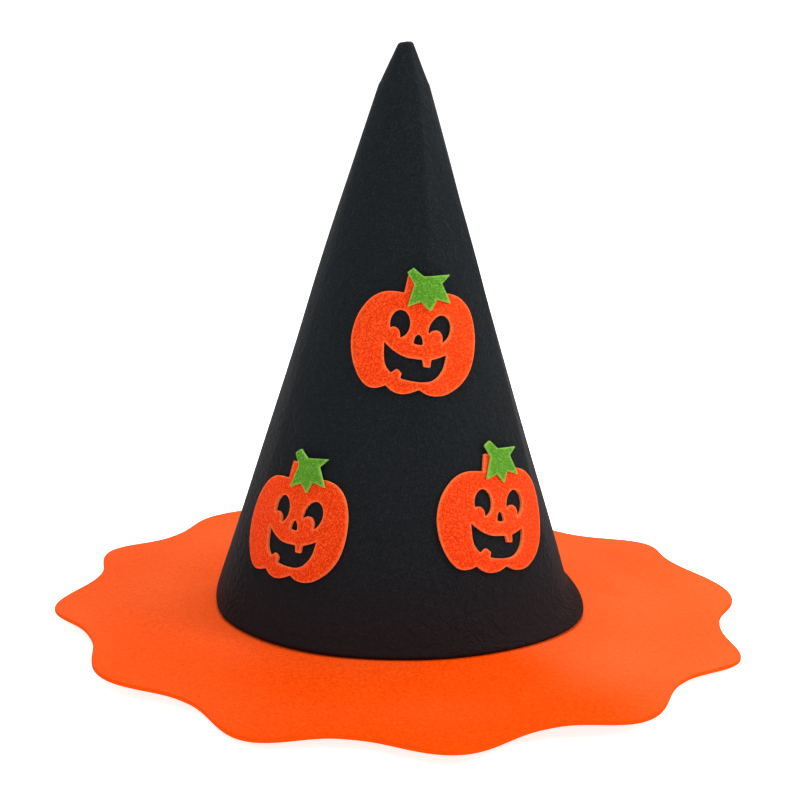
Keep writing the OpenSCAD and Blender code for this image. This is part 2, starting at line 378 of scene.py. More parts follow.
# %% Interlining
def bonded_web():
    """Interlining: a charcoal web whose tone follows a noise stretched three to one."""
    material = empty_material("bonded_nonwoven_interlining")
    place = add_node(material, "ShaderNodeTexCoord").outputs["Object"]
    drawn = add_node(material, "ShaderNodeMapping", {"Vector": place, "Scale": (1, 1, 0.33)})
    web = add_node(
        material,
        "ShaderNodeTexNoise",
        {"Vector": drawn.outputs[0], "Scale": per_metre(0.9), "Detail": 4.0, "Distortion": 1.2},
    ).outputs["Fac"]
    greys = {0: web, 6: linear("#222326"), 7: linear("#3E4044")}
    tone = add_node(material, "ShaderNodeMix", greys, data_type="RGBA").outputs[2]
    relief = add_node(material, "ShaderNodeBump", {"Height": web, "Distance": 0.05 * MM})
    surface = {"Base Color": tone, "Normal": relief.outputs[0]}
    return finish_material(material, {**surface, "Roughness": 0.8, "Specular IOR Level": 0.3})


interlining_web = bonded_web()


# %% Woven and twisted finishes
def corded(name, low, high, pitch_mm, depth_mm, looks, lean=0.0):
    """Cords side by side along the UV map flat, in metres: a sine wave of the first coordinate,
    plus lean times the second, with one crest for each pitch. It paints shade into the hollows,
    darker than the crests, and lifts the crests."""
    material = empty_material(name)
    flat = add_node(material, "ShaderNodeUVMap", uv_map="flat").outputs["UV"]
    along = add_node(material, "ShaderNodeSeparateXYZ", {"Vector": flat}).outputs
    slant = {0: along["Y"], 1: lean, 2: along["X"]}
    slanted = add_node(material, "ShaderNodeMath", slant, operation="MULTIPLY_ADD").outputs[0]
    turns = {0: slanted, 1: 2 * math.pi * per_metre(pitch_mm)}
    turned_by = add_node(material, "ShaderNodeMath", turns, operation="MULTIPLY").outputs[0]
    wave = add_node(material, "ShaderNodeMath", {0: turned_by}, operation="SINE").outputs[0]
    limits = {"Value": wave, "From Min": -1.0, "From Max": 1.0}
    crest = add_node(material, "ShaderNodeMapRange", limits).outputs[0]
    # The hollows are painted darker than the crests: painted shade between the cords.
    colours = {0: crest, 6: linear(low), 7: linear(high)}
    tone = add_node(material, "ShaderNodeMix", colours, data_type="RGBA").outputs[2]
    relief = add_node(material, "ShaderNodeBump", {"Height": crest, "Distance": depth_mm * MM})
    return finish_material(material, {"Base Color": tone, "Normal": relief.outputs[0], **looks})


SOFT_THREAD = {"Roughness": 0.6, "Specular IOR Level": 0.4, "Sheen Weight": 0.2}

grosgrain = corded(
    "grosgrain_ribbon", "#0E0E10", "#26272A", 0.6, 0.15,
    {"Roughness": 0.55, "Specular IOR Level": 0.45, "Sheen Weight": 0.15},
)
spun_thread = corded("spun_black_thread", "#0C0C0D", "#222325", 0.35, 0.05, SOFT_THREAD, lean=0.8)
white_thread = corded("spun_white_thread", "#BDBDBA", "#F1F1EE", 0.35, 0.05, SOFT_THREAD, lean=0.8)
label_satin = corded(
    "white_label_satin", "#DFDFDC", "#F7F7F4", 0.3, 0.02,
    {"Roughness": 0.38, "Specular IOR Level": 0.5, "Anisotropic": 0.5},
)


def cloudy(name, low, high, cloud_mm, looks):
    """A material with soft clouds of two near colours, this many millimetres across."""
    material = empty_material(name)
    place = add_node(material, "ShaderNodeTexCoord").outputs["Object"]
    noise = {"Vector": place, "Scale": per_metre(cloud_mm)}
    cloud = add_node(material, "ShaderNodeTexNoise", noise).outputs["Fac"]
    colours = {0: cloud, 6: linear(low), 7: linear(high)}
    tone = add_node(material, "ShaderNodeMix", colours, data_type="RGBA").outputs[2]
    return finish_material(material, {"Base Color": tone, **looks})


hot_melt = cloudy(
    "hot_melt_glue", "#D9CDA8", "#EFE8D2", 1.0,
    {"Roughness": 0.35, "IOR": 1.48, "Transmission Weight": 0.35},
)

# %% [markdown]
# ## The crown's surface
#
# The real crown is a cone that was folded flat in its box. So it has a ridge down each side
# where the fold was and one right of the front's middle, and its foot lies 3 mm to the left of
# its tip. The foot is turned in and bulges, most of all on the right. One formula gives the
# outer face at any angle and height, and everything on the crown is placed with it. The felt's
# unevenness is made of a few sine waves, so that every run gives the same hat.


# %% Building blocks
def hill(x, middle, width):
    """A smooth hill: 1 at the middle, falling off as exp of minus (distance / width) squared."""
    return np.exp(-(((x - middle) / width) ** 2))


def fold_line(x, middle, width):
    """A pressed fold: 1 on its line, falling off as exp(-distance / width), its crest rounded."""
    distance = np.sqrt((x - middle) ** 2 + (0.16 * width) ** 2)
    return np.exp(-distance / width)


def straight_side(z):
    """Radius of the cone at height z, a little less than the stiff cone's: it is drawn in by 1.15
    mm at the foot, fading to none at 210 mm, and by a smooth hill of 0.6 mm at its waist."""
    drawn_in = 1.15 * MM * (1 - z / (210 * MM)) + 0.6 * MM * hill(z, 120 * MM, 60 * MM)
    return SLOPE * (APEX_Z - z) - drawn_in


def blunt_tip(z):
    """Radius of the tip: it falls 0.43 for each unit of height, then by a small quarter circle."""
    rise = np.maximum(z - TIP_FOOT_Z, 0)
    edge = 1.2 * MM
    over = np.clip((z - (TOP_Z - edge)) / edge, 0, 1)
    return TIP_FOOT_R - 0.43 * rise - edge * (1 - np.sqrt(1 - over**2))


def crown_middle(z):
    """Sideways place of the crown's middle: 3 mm to the left low down, coming back at the tip."""
    return (-3 + 2.55 * np.clip((z - 90 * MM) / (192 * MM), 0, 1.1) ** 1.6) * MM


# %% Folds, bulges and wrinkles
def folds(angle, z):
    """Height of the pressed folds, in metres: two down the sides and one right of the front's
    middle, which drifts further right as it climbs. Each is strongest at one height and fades
    above and below it. The right one stands out most: it rises gently across the front, which
    makes a flat there, and drops sharply behind."""
    right_width = np.where(angle < 1.18, 0.36, 0.12)
    side_right = 4.4 * fold_line(angle, 1.18, right_width) * hill(z, 125 * MM, 95 * MM)
    side_left = 1.1 * fold_line(angle, -1.08, 0.17) * hill(z, 80 * MM, 110 * MM)
    front_at = 0.24 + 0.21 * np.clip(z / (235 * MM), 0, 1.2) ** 2.2
    front = 3.2 * fold_line(angle, front_at, 0.24) * hill(z, 190 * MM, 130 * MM)
    return (side_right + side_left + front) * MM


def pressed_flat(angle, z):
    """Share by which the front and the back are pushed in, as on a cone that lay flat in a box:
    a twentieth in the middle of each, most at half height."""
    sides = hill(angle, 0, 0.52) + hill(abs(angle), math.pi, 0.52)
    return 0.05 * sides * hill(z, 125 * MM, 75 * MM)


def foot_bulge(angle, z):
    """The turned hem: a roll 1.3 mm proud, none on the left, with a flare of 6.6 mm more on the
    right, and a slower swell of the front and the diagonals, which makes the foot squarish."""
    above = np.maximum(z - SEAM_Z - 1.5 * MM, 0)
    proud = 1.3 - 1.5 * hill(angle, -1.55, 0.4) + 6.6 * hill(angle, 1.15, 0.5)
    roll = proud * hill(above, 0, 2.4 * MM)
    square = 2.9 * np.cos(angle) ** 2 + 2.65 * np.sin(2 * angle) ** 2
    return (roll + square * hill(above, 0, 12 * MM)) * MM


def unevenness(angle, z):
    """Slow swells all over, a fraction of a millimetre high."""
    swell = 0.28 * np.sin(3 * angle + 22 * z + 0.7) + 0.2 * np.sin(5 * angle - 31 * z + 2.1)
    return (swell + 0.12 * np.sin(9 * angle + 64 * z + 4)) * MM


def crumple_share(angle, z):
    """How crumpled the felt is, from 0 to 1: most at the two corners of the foot where the side
    folds end, some beside the front fold, and a quarter everywhere."""
    low = np.exp(-np.clip(z - SEAM_Z, 0, None) / (22 * MM))
    corners = hill(angle, -1.12, 0.16) + 0.9 * hill(angle, 1.3, 0.25)
    beside = 0.4 * hill(angle, 0.45, 0.25) * (0.4 + low)
    return np.clip(1.2 * low * corners + beside + 0.25, 0, 1)


def crown_radius(angle, z):
    """Radius of the outer face. The angle is 0 at the front and grows towards the right."""
    base = np.where(z > TIP_FOOT_Z, blunt_tip(z), straight_side(z))
    share = np.clip((base - 3 * MM) / (20 * MM), 0, 1)
    rough = share * (folds(angle, z) + unevenness(angle, z))
    return base * (1 - pressed_flat(angle, z)) + rough + foot_bulge(angle, z)


def crown_point(angle, z, inset=0.0):
    """A point of the outer face, moved in towards the axis by inset. The flat top is tilted."""
    angle, z = np.broadcast_arrays(angle, z)
    r = crown_radius(angle, z) - inset
    high = np.clip((z - TIP_FOOT_Z) / (TOP_Z - TIP_FOOT_Z), 0, 1)
    tilt = 0.1 * r * np.sin(angle) * high**2
    return np.stack([crown_middle(z) + r * np.sin(angle), -r * np.cos(angle), z + tilt], -1)


def crown_normal(angle, z):
    """The outward direction: the cross product of a short step round and a short step up."""
    step = 0.4 * MM
    turn = step / np.maximum(crown_radius(angle, z), 5 * MM)
    along = crown_point(angle + turn, z) - crown_point(angle - turn, z)
    upward = crown_point(angle, z + step) - crown_point(angle, z - step)
    out = np.cross(along, upward)
    return out / np.linalg.norm(out, axis=-1, keepdims=True)


print(f"crown radius half way up: {float(crown_radius(0.0, 0.146)) / MM:.1f} mm")

# %% [markdown]
# ## The crown
#
# One piece of felt, rolled into a cone and lapped at the back, with its foot turned in to make
# a lip that is sewn to the brim. It could be a cone with a Solidify modifier, but the turned
# hem, the blunt tip and the lap all need a profile of their own. So the whole skin is a single
# closed profile carried round: tip, outer face, hem, lip, inner face, and back to the axis.


# %% Crown skin
AROUND = 384
HEM = 2.5 * MM
LAP_GAP = 0.0015
# Strength of the painted orange bounce light at the seam, and the height over which it fades.
BRIM_BOUNCE_MOST = 0.75
BRIM_BOUNCE_REACH = 20 * MM


def seam_lap(angle):
    """Rise of the lapped seam at the back: from 0 to one thickness of felt over the 40 degrees
    before the seam, by the smooth step 3 t squared minus 2 t cubed, then a sudden drop."""
    t = np.clip((np.degrees(angle) - 140) / 40, 0, 1)
    return CROWN_FELT * t * t * (3 - 2 * t)


def level_ring(radius, z, angle):
    """A plain circle of points at one height."""
    return np.stack([radius * np.sin(angle), -radius * np.cos(angle), 0 * angle + z], -1)


angle = np.linspace(-math.pi + LAP_GAP, math.pi - LAP_GAP, AROUND)
quarter = np.linspace(0, math.pi / 2, 7)
tip_z = TOP_Z - 1.2 * MM * (1 - np.cos(quarter[:-1]))
outer_z = np.concatenate(
    [
        tip_z,
        np.linspace(TOP_Z - 2 * MM, 60 * MM, 112),
        np.linspace(58.6 * MM, SEAM_Z + HEM, 34),
    ]
)
hem_z = SEAM_Z + HEM * (1 - np.sin(quarter[1:]))
hem_in = HEM * (1 - np.cos(quarter[1:]))

skin = [crown_point(angle, z, -seam_lap(angle)) for z in outer_z]
skin += [crown_point(angle, z, inset - seam_lap(angle)) for z, inset in zip(hem_z, hem_in)]
lip_edge = level_ring(BAND_R + 0.3 * MM, SEAM_Z + 0.05 * MM, angle)
skin += [skin[-1] * (1 - t) + lip_edge * t for t in (0.35, 0.7, 1.0)]
skin.append(level_ring(BAND_R + 0.3 * MM, SEAM_Z + CROWN_FELT, angle))
inner_z = np.linspace(SEAM_Z + CROWN_FELT, TIP_FOOT_Z, 36)
skin += [crown_point(angle, z, CROWN_FELT) for z in inner_z]

tip_pole = [crown_middle(TOP_Z), 0, TOP_Z + 0.05 * MM]
inner_pole = [crown_middle(TIP_FOOT_Z), 0, TIP_FOOT_Z]
skin_points = np.concatenate([np.reshape(skin, (-1, 3)), [tip_pole, inner_pole]])
skin_angle = np.append(np.tile(angle, len(skin)), [0, 0])
crown = as_object(
    "felt_crown",
    skin_points,
    ring_faces(len(skin), AROUND, ends="fans"),
    crumple=crumple_share(skin_angle, skin_points[:, 2]),
    lint=BRIM_BOUNCE_MOST * np.exp(-np.clip(skin_points[:, 2] - SEAM_Z, 0, None) / BRIM_BOUNCE_REACH),
)
finish_piece(crown, black_felt, ["crown_shell"])
slant = (APEX_Z - SEAM_Z) / math.cos(HALF_ANGLE)
print(f"a flat sector of {math.pi * slant**2 * math.sin(HALF_ANGLE):.4f} m2 makes the cone")

# %% [markdown]
# ## The interlining
#
# Behind the felt a stiff non-woven cone keeps the crown upright. It stops short of the point,
# and is only seen from below, through the opening. Its closed profile has two faces, each
# at a fixed depth behind the crown's outer face, so it follows every fold.

# %% Interlining cone
lining_angle = np.linspace(0, 2 * math.pi, 240, endpoint=False)
lining_angle = (lining_angle + math.pi) % (2 * math.pi) - math.pi
lining_z = np.linspace(LINING_TOP_Z, SEAM_Z + CROWN_FELT + 0.1 * MM, 60)
lining_rings = [crown_point(lining_angle, z, CROWN_FELT + 0.03 * MM) for z in lining_z]
lining_rings += [crown_point(lining_angle, z, CROWN_FELT + LINING) for z in lining_z[::-1]]
interlining = as_object(
    "interlining",
    lining_rings,
    ring_faces(len(lining_rings), len(lining_angle), ends="joined"),
)
finish_piece(interlining, interlining_web, ["crown_interlining"])

# %% [markdown]
# ## The brim
#
# A ring of stiff felt with twelve scallops die-cut round its edge. It is level under the
# crown's foot and falls about 6 mm to its edge, but it was packed flat under other things, so
# it waves: its right side lies low, lowest towards the back, and its left side and the part
# straight behind the crown lift. The wave is a sum of cosines of the angle that grows from
# nothing at the crown to its full height at the edge. The felt is painted paler at the sides
# and behind than in front: painted light and sheen, where more light falls and glances off.


# %% Brim outline and fall
SCALLOPS = 12
BRIM_LEVEL_R = 92 * MM
BRIM_REACH = 83 * MM

# Each wave: how many times round, height in millimetres, and the angle of its crest
OUTLINE_WAVES = [(1, 3.5, -65), (2, 2.0, -87), (3, 1.5, 66), (4, 2.2, 96), (5, 1.0, -133)]
HEIGHT_WAVES = [
    (1, 2.7, -170), (2, 1.4, -116), (3, 1.6, -105), (4, 2.2, 50), (5, 1.4, 109), (6, 1.1, -177),
]


def waves(turn, table):
    """Sum of cosines: for each wave, its height times cos(times * turn - crest)."""
    return sum(high * MM * np.cos(n * turn - math.radians(crest)) for n, high, crest in table)


def scallop_radius(turn):
    """Radius of the cut edge at an angle counted from the right. A raised cosine to the power
    1.2, twelve times round, gives round lobes 13 mm deep with narrow valleys."""
    lobe = (0.5 + 0.5 * np.cos(SCALLOPS * (turn - math.radians(7.9)))) ** 1.2
    return (159.3 + 12.9 * lobe) * MM + waves(turn, OUTLINE_WAVES)


def brim_height(turn, radius):
    """Height of the brim's upper face: level at first, then a straight fall of 5.7 mm over the
    reach of the brim, with the height waves growing in step with it. A small ripple, the product
    of two sines, and two dents, beside the crown on its left and on its right, are added."""
    share = np.clip((radius - BRIM_LEVEL_R) / BRIM_REACH, 0, None)
    ripple = 0.5 * np.sin(7 * turn + 70 * radius + 1) * np.sin(11 * turn - 50 * radius)
    left_dent = 3.0 * hill(turn, 2.98, 0.12) * hill(radius, 104 * MM, 12 * MM)
    right_dent = 3.0 * hill(turn, 0.05, 0.1) * hill(radius, 104 * MM, 9 * MM)
    fall = waves(turn, HEIGHT_WAVES) - 5.7 * MM + ripple * MM
    return SEAM_Z + share * fall - (left_dent + right_dent) * MM


def painted_sheen_share(turn, radius):
    """Share of painted sheen and light that pales the felt, from 0 to 0.29: a smooth step of the
    turn away from the front, quick on the right, where a crease bounds it, and slow on the left,
    a little patchy."""
    side = (turn + math.radians(97) + math.pi) % (2 * math.pi) - math.pi
    away = (abs(side) - 0.8) / np.where(side > 0, 0.07, 0.3)
    patchy = 0.04 * np.sin(5 * turn + 40 * radius) * np.sin(3 * turn - 75 * radius + 1)
    return np.clip(0.25 / (1 + np.exp(-away)) + patchy, 0, 1)


# %% Brim ring
turn = np.linspace(0, 2 * math.pi, 720, endpoint=False)
hole = BAND_R + 0.1 * MM
edge_r = scallop_radius(turn)
cut_round = 0.45 * MM
across = np.concatenate([[0], np.linspace(0.06, 1, 40)])
upper = [(t, 0.0, 0.0) for t in across]
rim = [(1.0, cut_round * math.sin(a), cut_round * (1 - math.cos(a))) for a in (0.5, 1.05, 1.57)]
lower_rim = [(t, out, BRIM_FELT - drop) for t, out, drop in rim[::-1]]
lower = [(t, 0.0, BRIM_FELT) for t in across[::-1]]

profile = np.array(upper + rim + lower_rim + lower)
share, out, drop = profile.T[:, :, None]
radius = hole + (edge_r - cut_round - hole) * share + out
height = brim_height(turn, radius) - drop
# How much painted sheen and light pales each point of the brim; the creases follow it too.
nap = painted_sheen_share(turn, radius).ravel()
wall = np.minimum(1.0, out / (0.8 * cut_round))
brim = as_object(
    "felt_brim",
    np.stack([radius * np.cos(turn), radius * np.sin(turn), height], -1),
    ring_faces(len(profile), len(turn), ends="joined"),
    cut=np.repeat(wall, len(turn)),
    nap=nap,
    crumple=0.05 + 0.5 * nap,
)
finish_piece(brim, brim_felt, ["brim"])
lowest = float(height.min())
print(f"lowest point of the brim: {lowest / MM:.1f} mm")

# %% [markdown]
# ## The sweatband
#
# A grosgrain ribbon stands in the opening against the head, and its lower part is folded out
# under the brim and sewn there. Its profile is an L with two faces. The wall leans with the
# crown, so its top ring is taken from the crown's own surface, a little inside the interlining.


# %% Ribbon wall and flange
def band_ring(share, outer):
    """A ring of the wall, from its foot (share 0) to its top (share 1): a circle that turns
    gradually into the ring just inside the interlining."""
    thick = 0.0 if outer else RIBBON
    z = SEAM_Z - BRIM_FELT + share * (BAND_TOP_Z - SEAM_Z + BRIM_FELT)
    circle = level_ring(BAND_R - thick, z, lining_angle)
    behind = CROWN_FELT + LINING + 0.35 * MM + thick
    fitted = crown_point(lining_angle, np.maximum(z, SEAM_Z + CROWN_FELT), behind)
    fitted[:, 2] = z
    blend = np.clip((z - SEAM_Z - CROWN_FELT) / (BAND_TOP_Z - SEAM_Z - CROWN_FELT), 0, 1)
    return circle * (1 - blend) + fitted * blend


def flange_ring(radius, depth):
    """A ring of the flange, at a depth under the brim's hole, level like the felt above it."""
    return level_ring(radius, SEAM_Z - BRIM_FELT - depth, lining_angle)


wall_steps = np.linspace(1, 0, 16)
band_rings = [band_ring(t, outer=True) for t in wall_steps]
band_rings += [flange_ring(r, 0.05 * MM) for r in (BAND_R + 2 * MM, FLANGE_R - 0.4 * MM)]
band_rings += [flange_ring(FLANGE_R, 0.5 * MM), flange_ring(FLANGE_R - 0.4 * MM, RIBBON)]
band_rings += [flange_ring(BAND_R, RIBBON), flange_ring(BAND_R - 0.7 * MM, RIBBON - 0.25 * MM)]
band_rings += [band_ring(t, outer=False) for t in wall_steps[::-1]]
band_points = np.array(band_rings)
steps = np.linalg.norm(np.diff(band_points[:, 0], axis=0), axis=-1)
down_ribbon = np.concatenate([[0], np.cumsum(steps)])
round_ribbon = lining_angle * BAND_R
sweatband = as_object(
    "sweatband_ribbon",
    band_points,
    ring_faces(len(band_rings), len(lining_angle), ends="joined"),
    sharp=40,
    flat=np.stack(np.meshgrid(round_ribbon, down_ribbon), -1).reshape(-1, 2),
)
finish_piece(sweatband, grosgrain, ["sweatband"])

# %% [markdown]
# ## Stitches
#
# Each stitch is a short run of thread that rises out of the cloth and dips back into it: a
# slim capsule, pressed flat. Hundreds are needed, so each has only a few dozen faces, and all
# the stitches of a seam are computed at once by adding one small shape to an array of places.


# %% Stitch shape
THREAD_W = 0.6 * MM
THREAD_T = 0.4 * MM
STITCH_PITCH = 4 * MM
STITCH_L = 0.6 * STITCH_PITCH
CAPSULE_ANGLES = np.linspace(0, 2 * math.pi, 8, endpoint=False)
CAPSULE_STEPS = np.sin(np.linspace(-1.35, 1.35, 7))


def stitches(name, centre, along, out, material, nodes):
    """Capsules at the given centres. A point is centre + along * t * half length + (side * cos a
    + out * sin a) * half thickness * sqrt(1 - t squared), with t along the stitch and a round it.
    Its middle then arches out of the cloth by 0.12 mm, less the 0.05 mm that its ends dip in."""
    side = np.cross(out, along)
    t, a = np.meshgrid(CAPSULE_STEPS, CAPSULE_ANGLES, indexing="ij")
    t = np.concatenate([t.ravel(), [-1, 1]])[None, :, None]
    a = np.concatenate([a.ravel(), [0, 0]])[None, :, None]
    thin = np.sqrt(np.clip(1 - t**2, 0, 1))
    arch = 0.12 * MM * (1 - t**2) - 0.05 * MM
    points = (
        centre[:, None]
        + along[:, None] * t * STITCH_L / 2
        + side[:, None] * thin * np.cos(a) * THREAD_W / 2
        + out[:, None] * (thin * np.sin(a) * THREAD_T / 2 + arch)
    )
    count = len(CAPSULE_STEPS) * len(CAPSULE_ANGLES) + 2
    one = ring_faces(len(CAPSULE_STEPS), len(CAPSULE_ANGLES), ends="fans")
    faces = [[index + k * count for index in face] for k in range(len(centre)) for face in one]
    flat = np.concatenate([t * STITCH_L / 2, a * THREAD_W / 2], -1)
    flat = np.broadcast_to(flat, (len(centre), count, 2)).reshape(-1, 2)
    piece = as_object(name, points, faces, sharp=80, flat=flat)
    finish_piece(piece, material, nodes)
    return piece


# %% Back seam
seam_count = int((LINING_TOP_Z - SEAM_Z) / STITCH_PITCH) - 2
seam_z = SEAM_Z + (np.arange(seam_count) + 1) * STITCH_PITCH + STITCH_L / 2
seam_turn = math.pi - 3 * MM / straight_side(seam_z)
seam_out = crown_normal(seam_turn, seam_z)
seam_at = crown_point(seam_turn, seam_z, -seam_lap(seam_turn)) + seam_out * 0.1 * MM
seam_along = np.gradient(seam_at, axis=0)
seam_along /= np.linalg.norm(seam_along, axis=-1, keepdims=True)
stitches(
    "back_seam_thread", seam_at, -seam_along, seam_out,
    spun_thread, ["crown_seam_thread"],
)

# %% Base seam
ring_r = 85.7 * MM
ring_count = int(2 * math.pi * ring_r / STITCH_PITCH)
ring_turn = np.arange(ring_count) * 2 * math.pi / ring_count
ring_turn = (ring_turn + math.pi) % (2 * math.pi) - math.pi
tangent = np.stack([np.cos(ring_turn), np.sin(ring_turn), 0 * ring_turn], -1)
below = level_ring(ring_r, FLANGE_Z - 0.1 * MM, ring_turn)
above = level_ring(ring_r - 0.35 * MM, SEAM_Z + CROWN_FELT + 0.1 * MM, ring_turn)
straight_up = np.broadcast_to([0.0, 0.0, 1.0], tangent.shape)
stitches(
    "opening_seam_thread",
    np.concatenate([below, above]),
    np.concatenate([tangent, tangent]),
    np.concatenate([-straight_up, straight_up]),
    spun_thread, ["base_seam_thread"],
)
print(seam_count, "stitches at the back,", 2 * ring_count, "round the opening")

# %% [markdown]
# ## Flat patterns
#
# Pumpkins and leaves are die-cut: flat felt with a smooth outline and, in the pumpkins, holes
# for the face. The outlines are drawn here in millimetres, as a pattern cutter would, with a
# few points joined by smooth curves. The pattern is then filled with triangles, given its
# thickness and a rounded cut edge, and rolled onto the crown like a sticker onto a cone.


# %% Curves for the patterns
def smooth_curve(points, steps=5):
    """Catmull-Rom through a list of points, without the last: each stretch is a cubic in t whose
    end slopes are half the difference of the neighbours."""
    p = np.asarray(points, float)
    a = np.concatenate([p[:1], p[:-1]])[:-1, None]
    b, c = p[:-1, None], p[1:, None]
    d = np.concatenate([p[1:], p[-1:]])[1:, None]
    t = np.linspace(0, 1, steps, endpoint=False)[None, :, None]
    linear_part = b + t * (c - a) / 2
    cubic = t**2 * (a - 2.5 * b + 2 * c - d / 2) + t**3 * (1.5 * (b - c) + (d - a) / 2)
    return (linear_part + cubic).reshape(-1, 2)


def turned(points, degrees):
    """Points turned about the pattern's origin, counter-clockwise."""
    a = math.radians(degrees)
    return points @ np.array([[math.cos(a), math.sin(a)], [-math.sin(a), math.cos(a)]])


def evenly(points, spacing):
    """A closed outline walked at even steps: points taken at equal lengths along it."""
    closed = np.concatenate([points, points[:1]])
    length = np.concatenate([[0], np.cumsum(np.linalg.norm(np.diff(closed, axis=0), axis=1))])
    count = max(12, int(round(length[-1] / spacing)))
    at = np.linspace(0, length[-1], count, endpoint=False)
    return np.stack([np.interp(at, length, closed[:, k]) for k in (0, 1)], -1)


def inside(points, loop):
    """True where a point lies in a loop: to the right of the point, the loop crosses its level
    an odd number of times."""
    x, y = points[:, 0:1], points[:, 1:2]
    x1, y1 = loop[:, 0], loop[:, 1]
    x2, y2 = np.roll(x1, -1), np.roll(y1, -1)
    crosses = (y1 > y) != (y2 > y)
    rise = np.where(y2 == y1, 1.0, y2 - y1)
    return (crosses & (x < (x2 - x1) * (y - y1) / rise + x1)).sum(1) % 2 == 1


# %% [markdown]
# ## From pattern to felt
#
# The pattern's outline and holes, with a sprinkling of points between them, are triangulated.
# The same triangles serve for the front and the back of the felt, and a ring of points for
# each cut makes the wall between: the edge a die leaves is rounded on its front side.


# %% Laying and thickening
PATTERN_SIZE = 0.985
EDGE_DROP = 0.2
WALL_DROP = 0.55


def on_crown(points, place, lift):
    """Pattern points in millimetres laid on the crown. place is the turn round the crown, the
    height of the pattern's origin, its lean and how much it is stretched sideways. On the
    unrolled cone, the distance from the apex gives the height, and the turn about the apex, over
    the sine of the half angle, gives the angle. lift, in millimetres, moves a point out, square
    to the felt."""
    turn, height, lean, stretch = place
    flat = turned(np.asarray(points) * [stretch, 1] * PATTERN_SIZE, lean) * MM
    reach = (APEX_Z - height * MM) / math.cos(HALF_ANGLE)
    slant = np.hypot(flat[:, 0], reach - flat[:, 1])
    angle = np.arctan2(flat[:, 0], reach - flat[:, 1]) / math.sin(HALF_ANGLE) + math.radians(turn)
    z = APEX_Z - slant * math.cos(HALF_ANGLE)
    return crown_point(angle, z) + crown_normal(angle, z) * np.reshape(lift, (-1, 1)) * MM


def in_felt(points, loops):
    """True where a point lies in the outline but in no hole, so in an odd number of loops."""
    return sum(inside(points, loop).astype(int) for loop in loops) % 2 == 1


def fill_pattern(loops, spacing):
    """Triangles between an outline and its holes. Points on a triangular grid that lie inside,
    and not too near a cut, are added, so that the felt can bend round the crown."""
    low, high = loops[0].min(0), loops[0].max(0)
    rows = np.arange(low[1], high[1], spacing * 0.866)
    columns = np.arange(low[0], high[0], spacing)
    x, y = np.meshgrid(columns, rows)
    x = x + spacing / 2 * (np.arange(len(rows)) % 2)[:, None]
    grid = np.stack([x.ravel(), y.ravel()], -1)
    edge = np.concatenate(loops)
    near = np.linalg.norm(grid[:, None] - edge[None], axis=-1).min(1)
    points = np.concatenate([edge, grid[in_felt(grid, loops) & (near > 0.55 * spacing)]])
    starts = np.cumsum([0] + [len(loop) for loop in loops])
    edges = [
        (int(s + k), int(s + (k + 1) % len(loop)))
        for s, loop in zip(starts, loops)
        for k in range(len(loop))
    ]
    _, _, faces, source, _, _ = delaunay_2d_cdt(points.tolist(), edges, [], 0, 1e-5)
    number = np.array([ids[0] for ids in source])
    triangles = number[np.array(faces)]
    return points, triangles[in_felt(points[triangles].mean(1), loops)]


def felt_cut(name, loops, place, base, thickness, spacing=1.3):
    """A die-cut piece, its sizes in millimetres. Front and back share the pattern's triangles.
    The front's border lies a little lower, which rounds its edge, and one more ring, lower
    still, makes the wall down to the back."""
    points, triangles = fill_pattern(loops, spacing)
    count = len(points)
    border = sum(len(loop) for loop in loops)
    front = np.full(count, base + thickness)
    front[:border] -= EDGE_DROP
    laid = [
        on_crown(points, place, front),
        on_crown(points, place, np.full(count, base)),
        on_crown(points[:border], place, np.full(border, base + thickness - WALL_DROP)),
    ]
    # The back and the cut wall take the cut colour in full, the front's border half: on pumpkins and
    # leaves a painted highlight on the edge.
    cut = np.concatenate([np.zeros(count), np.ones(count), np.ones(border)])
    cut[:border] = 0.5
    faces = triangles.tolist() + (triangles[:, ::-1] + count).tolist()
    first = 0
    for loop in loops:
        k = np.arange(len(loop))
        here, after = first + k, first + (k + 1) % len(loop)
        middle, middle_after = here + 2 * count, after + 2 * count
        faces += np.stack([here, middle, middle_after, after], -1).tolist()
        faces += np.stack([middle, here + count, after + count, middle_after], -1).tolist()
        first += len(loop)
    return as_object(name, np.concatenate(laid), faces, cut=cut)


# %% [markdown]
# ## Pumpkins and leaves
#
# The pumpkin has three lobes below and two shoulders with a stem that leans left. The face is
# cut right through: crescent-shaped eyes, a nose, and a wide grin with one tooth above and one
# below, so the black crown shows through. The leaf is a ragged star glued over the stem.

# %% Pumpkin pattern
LEFT_LOBE = [
    [-7, 24], [-15.5, 24], [-22.5, 20.5], [-28, 13], [-30.5, 4], [-30.3, -4],
    [-28.3, -11.5], [-24.8, -18], [-20.5, -21.7], [-16, -22], [-12, -20.5],
]
MIDDLE_LOBE = [[-12, -20.5], [-9, -22.8], [-5, -24], [-0.5, -23.4], [4.5, -21]]
RIGHT_LOBE = [
    [4.5, -21], [9, -22.8], [14, -22.8], [19, -20.8], [25, -15.5], [29, -8], [30.4, 2],
    [29.3, 12], [26, 20], [21, 24.5], [15.5, 26.2], [9, 25.8], [2, 23.5],
]
STEM = [[2, 23.5], [1.5, 32.5], [-6, 32.5]]
NOSE = [[-0.3, 0.6], [0.2, 3.6], [1.8, 5.2], [3.4, 3.6], [4, 0.6], [1.8, 0.2], [-0.3, 0.6]]
UPPER_LIP = [[-14.5, 0], [-9.5, -3.8], [-4, -6.2], [2, -6.6], [9, -5.9], [16, -2.8]]
LOWER_LIP = [
    [16, -2.8], [14.6, -10.5], [9.5, -16.2], [1, -17.4],
    [-8, -15.6], [-13.4, -10], [-14.5, 0],
]
UPPER_TOOTH = [[8.4, -4.5], [8.4, -9.8], [5.4, -9.8], [4.2, -4.5]]
